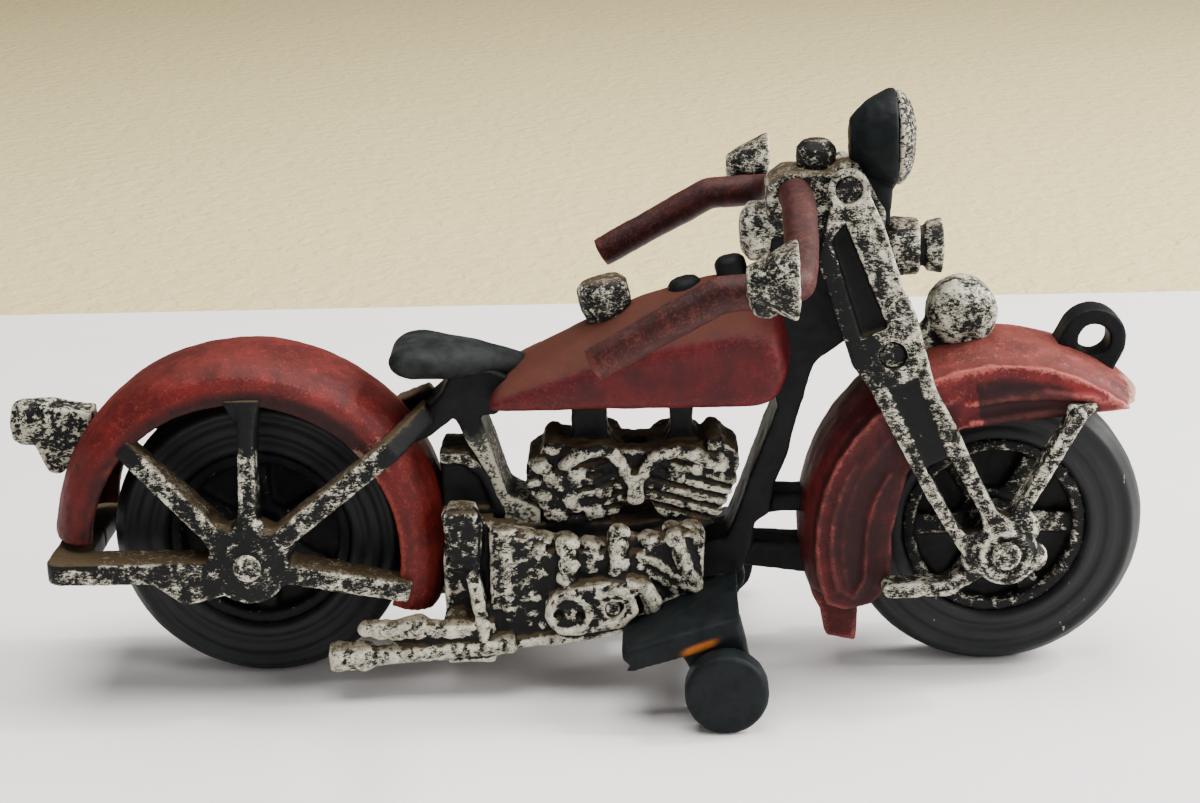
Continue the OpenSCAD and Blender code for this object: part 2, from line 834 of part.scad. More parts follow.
module tow_ring() {
    ring_a = 63.4;
    ring_sink = 0.05;
    ring_rad = front_fender_r + ring_hole_d / 2 - ring_sink;
    p = [f(ring_rad * cos(ring_a)), ring_rad * sin(ring_a)];
    color(BLACK) lift()
        difference() {
            union() {
                y_rod(p, ring_d, -ring_w / 2, ring_w / 2);
                translate([p[0], -ring_w / 2, p[1]])
                    rotate([0, -ring_a + 90, 0])
                        translate([-ring_d / 2, 0, -5.6]) cube([ring_d, ring_w, 5.6]);
            }
            y_rod(p, ring_hole_d, -ring_w / 2 - 1, ring_w / 2 + 1);
        }
}

module fender_lamp() {
    lamp_r = fender_lamp_d / 2;
    color(SILVER) lift() translate([f(-6.5), 0, front_fender_r + 4.1]) {
        y_rod([0, 0], fender_lamp_d, -3, 3);
        for (s = [-1, 1])
            translate([0, s * 3, 0])
                scale([1, 0.45, 1]) sphere(r = lamp_r - 0.4, $fn = 32);
        side_plate(-3, 3)
            polygon([[-6, -1], [-9, -5], [-6, -8], [4, -7], [4, -4]]);
    }
}

// ---------- bars and lamps, placed from the fork's top pin ----------

module at_head() {
    lift() translate([head_x, 0, head_z]) children();
}

// Block on top of the neck that carries the bar, the lamp and the horn.
module steering_head() {
    color(SILVER) at_head() {
        side_plate(-6, 6)
            polygon([
                [-14.6, -10.2], [-14.6, 0.3], [-11.1, 2.8], [-2.2, 2.6], [-1.1, -0.7],
                [1.9, -11.2], [-4.1, -13.2], [-11.1, -13.2]
            ]);
        side_plate(-3, 3)
            polygon([[-5, -1.2], [-3.1, 3.6], [2.9, 4.3], [7.4, -5.2], [7.4, -15.2], [0.9, -15.2]]);
    }
}

module damper_knob() {
    color(BLACK) at_head() translate([-5.4, 0, 1.8]) {
        cylinder(d1 = 6, d2 = 7.4, h = 2);
        translate([0, 0, 2]) cylinder(d = 7.4, h = 2.4);
        translate([0, 0, 4.4]) cylinder(d1 = 7.4, d2 = 4.4, h = 1.5);
    }
}

module instrument_drum() {
    color(SILVER) at_head() {
        x_cone([-19.5, 0, -9.2], 7, 11.4, 1.8);
        x_cone([-17.7, 0, -9.2], 11.4, 11.4, 4.4);
    }
}

// The bar's centre line on the right, from the middle out to the grip's end.
bar_pts = [
    [-10.2, 0, -0.8], [-9.2, -10, -1.8], [-9.6, -0.62 * bar_half, -6.6],
    [-11, -bar_half + 3, -9.8], [-14.5, -bar_half, -10.2], [-24.2, -bar_half, -10.7],
    [-30.7, -bar_half, -14.2], [-46.4, -bar_half, -22.7]
];

module bar_side() {
    last = len(bar_pts) - 1;
    d = bar_pts[last] - bar_pts[last - 1];
    at_head() {
        for (i = [0 : last - 2])
            hull() {
                translate(bar_pts[i]) sphere(d = bar_d, $fn = 18);
                translate(bar_pts[i + 1]) sphere(d = bar_d, $fn = 18);
            }
        hull() {
            translate(bar_pts[last - 1]) sphere(d = bar_d, $fn = 18);
            translate(bar_pts[last])
                rotate([0, atan2(d[0], d[2]), 0])
                    translate([0, 0, -1]) cylinder(d = bar_d - 0.4, h = 1, $fn = 18);
        }
    }
}

module handlebar() {
    color(RED) {
        bar_side();
        left() bar_side();
    }
}

module bar_lamp() {
    at_head() translate([-20.4, -bar_half - 7, -6.7]) {
        x_cone([0, 0, 0], 5, bar_lamp_d - 1, 7);
        x_cone([7, 0, 0], bar_lamp_d - 1, bar_lamp_d, 1);
        x_cone([8, 0, 0], bar_lamp_d, bar_lamp_d, 0.8);
        translate([3.5, 2.5, -4]) sphere(d = 6, $fn = 24);
    }
}

module bar_lamp_right() {
    color(SILVER) bar_lamp();
}

module bar_lamp_left() {
    color(SILVER) left() bar_lamp();
}

module headlamp_shell() {
    color(BLACK) at_head() translate([0.6, 0, 7.8]) {
        x_cone([0, 0, 0], 7, 13.5, 3);
        x_cone([3, 0, 0], 13.5, headlamp_d, 4.3);
        x_cone([7.3, 0, 0], headlamp_d, headlamp_d, 1.2);
        side_plate(-2.5, 2.5)
            polygon([[1.5, -3], [3.5, -15.8], [7.6, -17], [8, -5]]);
    }
}

module headlamp_lens() {
    color(SILVER) at_head() translate([9.1, 0, 7.8])
        rotate([0, 90, 0])
            rotate_extrude()
                polygon(concat(
                    [[0, 0]],
                    [for (i = [0 : 6])
                        let (a = i * 15)
                            [headlamp_d / 2 * cos(a), 3.8 * sin(a)]]
                ));
}

module horn() {
    color(SILVER) at_head() {
        x_cone([5.9, 0, -12.7], 8, 11.2, 3);
        x_cone([8.9, 0, -12.7], 11.2, 10.6, 4.6);
        x_cone([13.5, 0, -12.7], 7.4, 7.4, 1.4);
        x_cone([14.9, 0, -12.7], 9.4, 10.4, 3);
    }
}

// ---------- assembly ----------

rear_fender_right();
rear_fender_left();
rear_stay_right();
rear_stay_left();
tank_right();
tank_left();
frame_right();
frame_left();
cylinders_right();
cylinders_left();
crankcase_right();
crankcase_left();
gearbox_right();
gearbox_left();
exhaust_right();
exhaust_left();
footboard_right();
footboard_left();
front_fender_right();
front_fender_left();
fork_blade_right();
fork_blade_left();
battery_box();
saddle();
tail_lamp();
tow_ring();
fuel_cap();
tank_knobs();
steering_head();
handlebar();
bar_lamp_right();
bar_lamp_left();
headlamp_shell();
headlamp_lens();
horn();
fender_lamp();
damper_knob();
instrument_drum();
front_axle();
rear_axle();
fork_pins();
body_rivet();
front_wheel();
front_tyre();
rear_wheel();
rear_tyre();
stabiliser_axle();
stabiliser_wheel_right();
stabiliser_wheel_left();
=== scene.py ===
"""Looks of a worn cast toy motorcycle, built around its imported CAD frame."""

import math

import bmesh
import bpy
import numpy as np
from mathutils import Euler, Matrix, Vector


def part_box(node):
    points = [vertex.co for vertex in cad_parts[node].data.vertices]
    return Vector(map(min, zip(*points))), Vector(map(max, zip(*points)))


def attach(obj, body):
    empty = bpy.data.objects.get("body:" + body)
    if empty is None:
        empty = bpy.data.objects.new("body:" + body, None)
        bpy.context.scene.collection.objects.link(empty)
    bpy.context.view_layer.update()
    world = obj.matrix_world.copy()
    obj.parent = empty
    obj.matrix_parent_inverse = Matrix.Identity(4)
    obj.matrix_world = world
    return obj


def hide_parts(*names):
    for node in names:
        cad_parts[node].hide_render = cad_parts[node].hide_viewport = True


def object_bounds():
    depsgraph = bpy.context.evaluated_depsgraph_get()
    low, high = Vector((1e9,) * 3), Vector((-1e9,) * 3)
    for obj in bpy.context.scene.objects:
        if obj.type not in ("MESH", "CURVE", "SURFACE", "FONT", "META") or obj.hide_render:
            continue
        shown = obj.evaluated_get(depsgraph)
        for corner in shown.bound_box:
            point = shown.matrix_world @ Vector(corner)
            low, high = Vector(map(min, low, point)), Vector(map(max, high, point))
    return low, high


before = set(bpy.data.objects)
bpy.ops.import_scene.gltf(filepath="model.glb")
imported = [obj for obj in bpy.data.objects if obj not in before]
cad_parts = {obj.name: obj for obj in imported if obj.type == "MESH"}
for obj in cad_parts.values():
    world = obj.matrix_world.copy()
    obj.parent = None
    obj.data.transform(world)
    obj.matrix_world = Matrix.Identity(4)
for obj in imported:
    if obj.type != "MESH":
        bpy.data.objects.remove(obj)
cad_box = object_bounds()

MM = 0.001
VOXEL = 0.45 * MM


# ---------------------------------------------------------------- places

def centre(node):
    """Middle of a CAD node's box, in millimetres."""
    low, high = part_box(node)
    return (low + high) / 2 / MM


REAR = centre("rear_axle")
FRONT = centre("front_axle")
STAB = centre("stabiliser_axle")
MID_X = (REAR.x + FRONT.x) / 2
AXLE_Z = REAR.z
RAKE = math.radians(23)
SPLAY = math.radians(8)
BLADE_FACE = 19.5
TYRE_R = (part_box("front_tyre")[1].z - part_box("front_tyre")[0].z) / 2 / MM


def rear(x, y, z):
    """A place given from the rear axle, in millimetres."""
    return Vector((REAR.x + x, y, AXLE_Z + z))


def mid(x, y, z):
    """A place given from the middle of the wheelbase, at the axles' height."""
    return Vector((MID_X + x, y, AXLE_Z + z))


def front(x, y, z):
    """A place given from the front axle."""
    return Vector((FRONT.x + x, y, AXLE_Z + z))


def mirrored(points):
    return [Vector((p.x, -p.y, p.z)) for p in points]


# ---------------------------------------------------------------- mesh tools

def new_object(name, bm):
    mesh = bpy.data.meshes.new(name)
    bm.to_mesh(mesh)
    bm.free()
    obj = bpy.data.objects.new(name, mesh)
    bpy.context.scene.collection.objects.link(obj)
    return obj


def add_ball(bm, place, size, turn=(0, 0, 0)):
    """A ball or ellipsoid with the given sizes in millimetres, turned by degrees."""
    matrix = (
        Matrix.Translation(Vector(place) * MM)
        @ Euler([math.radians(a) for a in turn]).to_matrix().to_4x4()
        @ Matrix.Diagonal((size[0] * MM, size[1] * MM, size[2] * MM, 1))
    )
    bmesh.ops.create_icosphere(bm, subdivisions=3, radius=0.5, matrix=matrix)


def add_box(bm, place, size, turn=(0, 0, 0)):
    matrix = (
        Matrix.Translation(Vector(place) * MM)
        @ Euler([math.radians(a) for a in turn]).to_matrix().to_4x4()
        @ Matrix.Diagonal((size[0] * MM, size[1] * MM, size[2] * MM, 1))
    )
    bmesh.ops.create_cube(bm, size=1, matrix=matrix)


def add_rod(bm, start, end, d0, d1=None, segments=20):
    """A round rod from start to end whose diameter goes from d0 to d1."""
    start, end = Vector(start) * MM, Vector(end) * MM
    axis = end - start
    matrix = Matrix.Translation((start + end) / 2) @ axis.to_track_quat("Z", "Y").to_matrix().to_4x4()
    bmesh.ops.create_cone(
        bm, cap_ends=True, segments=segments, radius1=d0 / 2 * MM,
        radius2=(d0 if d1 is None else d1) / 2 * MM, depth=axis.length, matrix=matrix,
    )


def add_tube(bm, points, diameters):
    """A round tube through the points, with a ball at each of them."""
    if not isinstance(diameters, (list, tuple)):
        diameters = [diameters] * len(points)
    for i, place in enumerate(points):
        add_ball(bm, place, [diameters[i]] * 3)
        if i:
            add_rod(bm, points[i - 1], place, diameters[i - 1], diameters[i])


def arc(place, radius, start, end, y, steps):
    """Points on a circle in side view about place(0, y, 0), angles in degrees."""
    turns = [math.radians(start + (end - start) * i / steps) for i in range(steps + 1)]
    return [place(radius * math.cos(t), y, radius * math.sin(t)) for t in turns]


def apply_modifiers(obj):
    graph = bpy.context.evaluated_depsgraph_get()
    mesh = bpy.data.meshes.new_from_object(obj.evaluated_get(graph))
    old = obj.data
    obj.modifiers.clear()
    obj.data = mesh
    bpy.data.meshes.remove(old)
    mesh.name = obj.name


def places_of(mesh):
    co = np.empty(len(mesh.vertices) * 3)
    mesh.vertices.foreach_get("co", co)
    return co.reshape(-1, 3)


def normals_of(mesh):
    normals = np.empty(len(mesh.vertices) * 3)
    mesh.vertices.foreach_get("normal", normals)
    return normals.reshape(-1, 3)


def edges_of(mesh):
    edges = np.empty(len(mesh.edges) * 2, np.int64)
    mesh.edges.foreach_get("vertices", edges)
    return edges.reshape(-1, 2)


def relaxed(co, edges, rounds):
    """The vertices' places after some rounds of averaging with their neighbours."""
    count = len(co)
    degree = np.maximum(np.bincount(edges.ravel(), minlength=count), 1)[:, None]
    for _ in range(rounds):
        total = np.empty_like(co)
        for k in range(3):
            total[:, k] = np.bincount(edges[:, 0], co[edges[:, 1], k], count)
            total[:, k] += np.bincount(edges[:, 1], co[edges[:, 0], k], count)
        co = 0.5 * co + 0.5 * total / degree
    return co


def soften(obj, rounds):
    mesh = obj.data
    co = relaxed(places_of(mesh), edges_of(mesh), rounds)
    mesh.vertices.foreach_set("co", co.ravel())
    mesh.update()


def texture(name, size, depth):
    made = bpy.data.textures.get(name)
    if made is None:
        made = bpy.data.textures.new(name, "CLOUDS")
        made.noise_scale = size * MM
        made.noise_depth = depth
    return made


def roughen(obj, *layers):
    """Pushes the surface in and out by clouds of the given (size, height), in millimetres."""
    for size, height in layers:
        push = obj.modifiers.new("push", "DISPLACE")
        push.texture = texture(f"cast {size}", size, 2)
        push.texture_coords = "LOCAL"
        push.mid_level = 0.5
        push.strength = height * MM
    apply_modifiers(obj)


def store(mesh, name, values):
    attribute = mesh.attributes.get(name) or mesh.attributes.new(name, "FLOAT", "POINT")
    attribute.data.foreach_set("value", np.asarray(values, np.float32))


def step(values, low, high):
    """Smooth step from 0 at low to 1 at high."""
    t = np.clip((values - low) / (high - low), 0, 1)
    return t * t * (3 - 2 * t)


def mark_wear_and_painted_light(obj, dust=0.5, zones=None):
    """Stores edges and hollows, where dust lies, and where paint is darker, paler or rusty; the zones'
    darker and paler marks also hold painted shade and painted highlights.
    """
    mesh = obj.data
    co, normal, edges = places_of(mesh) / MM, normals_of(mesh), edges_of(mesh)
    fine = relaxed(co, edges, 4)
    broad = relaxed(fine, edges, 30)
    out_fine = ((co - fine) * normal).sum(1)
    out_broad = ((fine - broad) * normal).sum(1)
    store(mesh, "edge", np.clip(out_fine / 0.07, -1, 1))
    store(mesh, "hollow", np.clip(-out_broad / 0.25, 0, 1))
    store(mesh, "dust", dust * step(normal[:, 2], 0.35, 0.95))
    marks = zones(co, normal) if zones else {}
    for name in ("dark", "pale", "rust"):
        store(mesh, name, marks.get(name, np.zeros(len(co))))


def keep_inside(obj):
    """Presses the roughened surface back into the CAD model's box, by tenths of a millimetre at most."""
    co = np.clip(places_of(obj.data), np.array(cad_box[0]), np.array(cad_box[1]))
    obj.data.vertices.foreach_set("co", co.ravel())
    obj.data.update()


def finish_piece(obj, material, body, nodes):
    obj.data.materials.clear()
    obj.data.materials.append(material)
    obj.data.polygons.foreach_set("use_smooth", [True] * len(obj.data.polygons))
    keep_inside(obj)
    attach(obj, body)
    if nodes:
        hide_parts(*nodes)
    return obj


def dent(obj, place, radius, depth):
    """Sinks a round pit into a side face, towards the centre plane."""
    mesh = obj.data
    co = places_of(mesh) / MM
    share = 1 - step(np.hypot(co[:, 0] - place.x, co[:, 2] - place.z), radius * 0.6, radius * 1.15)
    share *= np.abs(co[:, 1] - place.y) < depth + 1.5
    co[:, 1] -= np.sign(place.y) * depth * share
    mesh.vertices.foreach_set("co", (co * MM).ravel())
    mesh.update()


def cast(name, nodes, material, body="body", add=None, voxel=VOXEL, rounds=3,
         clouds=((1.6, 0.16), (5.0, 0.25)), dust=0.5, zones=None, shape=None):
    """One painted zone of the castings: CAD solids and relief, fused, rounded and roughened like iron."""
    bm = bmesh.new()
    for node in nodes:
        bm.from_mesh(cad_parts[node].data)
    bmesh.ops.remove_doubles(bm, verts=bm.verts, dist=0.0005 * MM)
    if add:
        add(bm)
    obj = new_object(name, bm)
    fuse = obj.modifiers.new("fuse", "REMESH")
    fuse.mode = "VOXEL"
    fuse.voxel_size = voxel
    apply_modifiers(obj)
    soften(obj, rounds)
    if shape:
        shape(obj)
    roughen(obj, *clouds)
    mark_wear_and_painted_light(obj, dust, zones)
    return finish_piece(obj, material, body, nodes)


# ---------------------------------------------------------------- materials

def srgb(r, g, b):
    """Linear colour from 0-255 display values."""
    def line(c):
        c /= 255
        return c / 12.92 if c <= 0.04045 else ((c + 0.055) / 1.055) ** 2.4
    return (line(r), line(g), line(b), 1)


def shade(colour, factor):
    return tuple(c * factor for c in colour[:3]) + (1,)


class Shader:
    """A small wrapper that builds one node material."""

    def __init__(self, name):
        self.material = bpy.data.materials.new(name)
        self.material.use_nodes = True
        self.tree = self.material.node_tree
        self.surface = self.tree.nodes["Principled BSDF"]
        self.where = self.node("ShaderNodeTexCoord").outputs["Object"]

    def node(self, kind):
        return self.tree.nodes.new(kind)

    def join(self, value, socket):
        if isinstance(value, bpy.types.NodeSocket):
            self.tree.links.new(value, socket)
        else:
            socket.default_value = value

    def sized(self, stretch):
        mapping = self.node("ShaderNodeMapping")
        self.join(self.where, mapping.inputs["Vector"])
        mapping.inputs["Scale"].default_value = stretch
        return mapping.outputs["Vector"]

    def noise(self, size, detail=3.0, roughness=0.6, warp=0.0, stretch=(1, 1, 1)):
        """Noise whose lumps are about size millimetres across."""
        made = self.node("ShaderNodeTexNoise")
        self.join(self.sized(stretch), made.inputs["Vector"])
        made.inputs["Scale"].default_value = 1 / (size * MM)
        made.inputs["Detail"].default_value = detail
        made.inputs["Roughness"].default_value = roughness
        made.inputs["Distortion"].default_value = warp
        return made.outputs["Fac"]

    def attribute(self, name):
        made = self.node("ShaderNodeAttribute")
        made.attribute_name = name
        return made.outputs["Fac"]

    def math(self, operation, a, b=0.0, clamp=False):
        made = self.node("ShaderNodeMath")
        made.operation = operation
        made.use_clamp = clamp
        self.join(a, made.inputs[0])
        self.join(b, made.inputs[1])
        return made.outputs[0]

    def weighted(self, *terms, start=0.0):
        """start plus the sum of (socket, weight) terms."""
        total = start
        for socket, weight in terms:
            total = self.math("ADD", self.math("MULTIPLY", socket, weight), total)
        return total

    def step(self, value, low, high):
        made = self.node("ShaderNodeMapRange")
        made.interpolation_type = "SMOOTHSTEP"
        self.join(value, made.inputs["Value"])
        made.inputs["From Min"].default_value = low
        made.inputs["From Max"].default_value = high
        return made.outputs["Result"]

    def mix(self, share, a, b):
        made = self.node("ShaderNodeMix")
        made.data_type = "RGBA"
        self.join(share, made.inputs[0])
        self.join(a, made.inputs[6])
        self.join(b, made.inputs[7])
        return made.outputs[2]

    def finish(self, colour, roughness, height, distance, strength=1.0, metallic=0.0):
        self.join(colour, self.surface.inputs["Base Color"])
        self.join(roughness, self.surface.inputs["Roughness"])
        self.surface.inputs["Metallic"].default_value = metallic
        bump = self.node("ShaderNodeBump")
        bump.inputs["Strength"].default_value = strength
        bump.inputs["Distance"].default_value = distance * MM
        self.join(height, bump.inputs["Height"])
        self.join(bump.outputs["Normal"], self.surface.inputs["Normal"])
        return self.material


def wear_and_light_marks(s):
    """The six wear and painted-light attributes in the order edge, hollow, dark, pale, dust, rust."""
    return [s.attribute(name) for name in ("edge", "hollow", "dark", "pale", "dust", "rust")]


def rubbed_silver(name, black=0.0, bright=1.0, relief=1.0):
    """Cream-grey paint rubbed over black iron: flecked black, darker in hollows, dusty on top; black also
    where the zones mark it dark, which is black paint in places and painted shade between parts and under
    the fenders in others; creamier where they mark it pale, partly a painted highlight.
    """
    s = Shader(name)
    s.surface.inputs["Specular IOR Level"].default_value = 0.15
    edge, hollow, dark, pale, dust, rust = wear_and_light_marks(s)
    flecks = s.noise(0.60, 4.0, 0.66, 0.8, (0.75, 1.0, 1.7))
    specks = s.noise(0.26, 3.0, 0.6)
    patches = s.noise(2.4, 3.0, 0.6, 0.6)
    # the zones' dark marks take silver away (real black paint, and painted shade between parts and under
    # the fenders); their pale marks add silver (rubbed paint, and a painted highlight on the lamps' fronts
    # and the fork blades' front edges)
    cover = s.weighted(
        (flecks, 1.0), (patches, 0.8), (specks, 0.30), (edge, 0.12 * relief),
        (hollow, -0.35 * relief),
        (dark, -0.60), (pale, 0.16), start=-black,
    )
    silver_share = s.step(cover, 1.04, 1.24)
    cream = s.mix(s.step(s.weighted((patches, 0.6), (specks, 0.6)), 0.45, 0.75),
                  shade(srgb(118, 115, 100), bright), shade(srgb(206, 201, 182), bright))
    # this black is bare iron and black paint, and painted shade where the zones mark it dark
    iron = s.mix(specks, srgb(3, 4, 5), srgb(20, 21, 21))
    colour = s.mix(silver_share, iron, cream)
    dusty = s.step(s.weighted((dust, 0.9), (patches, 0.6), (specks, 0.5), (hollow, 0.2)), 0.72, 1.25)
    dirt = s.mix(flecks, srgb(22, 16, 10), srgb(104, 86, 60))
    colour = s.mix(s.math("MULTIPLY", dusty, 0.75), colour, dirt)
    colour = s.mix(rust, colour, srgb(96, 52, 30))
    roughness = s.weighted((silver_share, -0.12), (dusty, 0.2), start=0.58)
    height = s.weighted((silver_share, 0.5), (specks, 0.5), (flecks, 0.6))
    return s.finish(colour, roughness, height, 0.16, 0.8)


def worn_red(name, deep, light, scuff, shade_and_grime, dusty_colour, shine=0.5):
    """Old red enamel: mottled, dirty in hollows, scuffed pale on edges, dusty on top; darkened with painted
    shade where the zones mark it dark, and lightened with a painted highlight where they mark it pale.
    """
    s = Shader(name)
    s.surface.inputs["Specular IOR Level"].default_value = 0.22
    edge, hollow, dark, pale, dust, rust = wear_and_light_marks(s)
    broad = s.noise(11.0, 3.0, 0.55, 0.4)
    patches = s.noise(3.2, 4.0, 0.62, 0.5)
    fine = s.noise(0.5, 4.0, 0.65)
    colour = s.mix(s.step(s.weighted((broad, 0.6), (patches, 0.5)), 0.38, 0.75), deep, light)
    colour = s.mix(s.step(s.weighted((fine, 0.9), (edge, 0.3), (patches, 0.3)), 0.62, 0.95), colour, scuff)
    # dirt in patches and hollows, plus painted shade where the zones mark it dark
    grime_and_shade = s.step(s.weighted((patches, 0.75), (hollow, 0.35), (dark, 0.75), (fine, 0.3)), 0.66, 1.15)
    colour = s.mix(s.math("MULTIPLY", grime_and_shade, 0.92), colour, shade_and_grime)
    dusty = s.step(s.weighted((dust, 0.9), (broad, 0.5), (fine, 0.3)), 0.60, 1.2)
    colour = s.mix(s.math("MULTIPLY", dusty, 0.75), colour, dusty_colour)
    # worn pale paint, plus a painted highlight where the zones mark it pale
    worn = s.step(s.weighted((pale, 0.9), (patches, 0.5), (fine, 0.5), (edge, 0.2)), 0.92, 1.18)
    colour = s.mix(s.math("MULTIPLY", worn, 0.8), colour, srgb(168, 132, 112))
    colour = s.mix(rust, colour, srgb(110, 62, 40))
    roughness = s.weighted((fine, 0.14), (grime_and_shade, 0.14), (dusty, 0.22), start=shine)
    height = s.weighted((fine, 0.8), (patches, 0.7), (worn, -0.3))
    return s.finish(colour, roughness, height, 0.14, 0.7)


def worn_black(name, deep, light, scuff, shine=0.5, silver=-0.3, rubbed=0.0):
    """Satin black over iron, greyed on edges and flecked with silver where silver is high."""
    s = Shader(name)
    s.surface.inputs["Specular IOR Level"].default_value = 0.14
    edge, hollow, _, pale, dust, rust = wear_and_light_marks(s)
    patches = s.noise(4.0, 4.0, 0.6, 0.5)
    fine = s.noise(0.5, 4.0, 0.65)
    colour = s.mix(s.step(patches, 0.3, 0.7), deep, light)
    scuffed = s.step(s.weighted((edge, 0.22), (patches, 0.42), (fine, 0.5), (pale, 0.5), start=rubbed),
                     0.72, 1.0)
    colour = s.mix(s.math("MULTIPLY", scuffed, 0.7), colour, scuff)
    flecks = s.noise(0.8, 5.0, 0.65, 0.5, (1.0, 1.0, 1.5))
    silvered = s.step(s.weighted((flecks, 1.0), (patches, 0.3), (edge, 0.12), (hollow, -0.15), (pale, 0.3),
                                 start=silver), 0.70, 0.80)
    colour = s.mix(silvered, colour, srgb(160, 156, 138))
    dusty = s.step(s.weighted((dust, 0.8), (patches, 0.6)), 0.60, 1.15)
    colour = s.mix(s.math("MULTIPLY", dusty, 0.5), colour, srgb(56, 50, 40))
    colour = s.mix(rust, colour, s.mix(fine, srgb(112, 58, 18), srgb(176, 104, 40)))
    roughness = s.weighted((fine, 0.18), (scuffed, 0.1), (dusty, 0.2), start=shine)
    height = s.weighted((fine, 0.8), (patches, 0.8), (scuffed, 0.2))
    return s.finish(colour, roughness, height, 0.12, 0.7)


def old_rubber(name):
    """Hard black rubber, greyed where it touches, with a few fine pale scratches."""
    s = Shader(name)
    s.surface.inputs["Specular IOR Level"].default_value = 0.25
    edge, pale = s.attribute("edge"), s.attribute("pale")
    patches = s.noise(7.0, 3.0, 0.55)
    fine = s.noise(0.6, 4.0, 0.65)
    colour = s.mix(patches, srgb(9, 11, 12), srgb(24, 27, 28))
    worn = s.step(s.weighted((edge, 0.3), (pale, 0.5), (fine, 0.5), (patches, 0.4)), 0.72, 1.1)
    colour = s.mix(s.math("MULTIPLY", worn, 0.5), colour, srgb(66, 69, 69))
    scratch = s.noise(1.6, 2.0, 0.5, 2.0, (1.0, 0.35, 0.25))
    scratched = s.math("MULTIPLY", s.step(scratch, 0.745, 0.76), s.step(fine, 0.52, 0.6))
    colour = s.mix(s.math("MULTIPLY", scratched, 0.7), colour, srgb(170, 170, 166))
    roughness = s.weighted((fine, 0.2), (patches, 0.15), start=0.4)
    return s.finish(colour, roughness, s.weighted((fine, 0.8), (patches, 0.5)), 0.08, 0.5)


SILVER = rubbed_silver("rubbed silver")
ENGINE_SILVER = rubbed_silver("rubbed silver of the engine", black=-0.02, relief=1.7)
SILVER_DARK = rubbed_silver("rubbed silver, mostly black", black=0.10)
SILVER_BRIGHT = rubbed_silver("rubbed silver, mostly cream", black=-0.07, bright=1.05)
FENDER_RED = worn_red("rear fender red", srgb(62, 8, 6), srgb(96, 16, 12), srgb(116, 42, 34),
                      srgb(20, 9, 9), srgb(66, 36, 26))
TANK_RED = worn_red("tank red", srgb(50, 5, 8), srgb(76, 10, 13), srgb(92, 26, 26),
                    srgb(20, 8, 9), srgb(76, 42, 28))
FRONT_RED = worn_red("front fender red", srgb(62, 8, 9), srgb(116, 28, 30), srgb(152, 76, 70),
                     srgb(24, 8, 8), srgb(90, 54, 42))
BAR_RED = worn_red("handlebar red", srgb(30, 6, 6), srgb(54, 12, 10), srgb(80, 36, 28),
                   srgb(14, 7, 7), srgb(50, 28, 22))
BLACK = worn_black("worn black", srgb(3, 4, 5), srgb(12, 14, 15), srgb(56, 57, 52))
BLACK_BLUE = worn_black("blue-black", srgb(6, 9, 11), srgb(17, 23, 25), srgb(66, 72, 70))
SADDLE_BLACK = worn_black("saddle black", srgb(14, 16, 16), srgb(36, 38, 38), srgb(88, 90, 84), rubbed=0.08)
BLACK_SILVER = worn_black("black flecked with silver", srgb(4, 5, 6), srgb(16, 17, 17), srgb(84, 82, 72),
                          silver=0.04)
RUBBER = old_rubber("old rubber")


# ---------------------------------------------------------------- zones of wear, painted shade and painted highlight

def radius_from(co, place):
    return np.hypot(co[:, 0] - place.x, co[:, 2] - place.z)


def rear_fender_zones(co, normal):
    r = radius_from(co, REAR)
    turn = np.degrees(np.arctan2(co[:, 2] - REAR.z, co[:, 0] - REAR.x))
    windows = step(turn, 25, 55) * (1 - step(turn, 128, 150))
    low = 1 - step(r, 30.0, 34.5)
    seat_end = np.exp(-(((turn - 38) / 10) ** 2)) * step(np.abs(co[:, 1]), 6, 11) * (1 - step(r, 33, 36))
    tail = step(turn, 128, 155) + (turn < -90)
    # dark: painted shade under the arch, deepest by the stay windows where dirt adds to it, and darker
    # towards the tail; pale: a painted highlight near the seat end
    return {"dark": (0.25 + 0.6 * windows) * low + 0.45 * tail, "pale": 0.55 * seat_end}


def front_fender_zones(co, normal):
    r = radius_from(co, FRONT)
    turn = np.degrees(np.arctan2(co[:, 2] - FRONT.z, co[:, 0] - FRONT.x))
    tip = step(co[:, 0] - FRONT.x, 17, 27)
    behind = step(turn, 100, 130) + (turn < -90)
    under = 1 - step(r, 30.0, 34.0)
    flank = (turn > 100) | (turn < -90)
    # dark: painted shade under the arch and on the rear part of the fender; pale: a painted highlight on
    # the front tip
    dark = 0.55 * behind + (0.75 - 0.6 * flank) * under * (1 - 0.7 * tip)
    return {"dark": dark, "pale": 0.75 * tip}


def tank_zones(co, normal):
    x = co[:, 0] - MID_X
    top = step(co[:, 2] - AXLE_Z, 36, 46)
    # dark: darker towards the rear end; pale: a painted highlight along the top
    return {"dark": 0.35 * (1 - step(x, -24, -16)), "pale": 0.1 * top}


# ---------------------------------------------------------------- body pieces

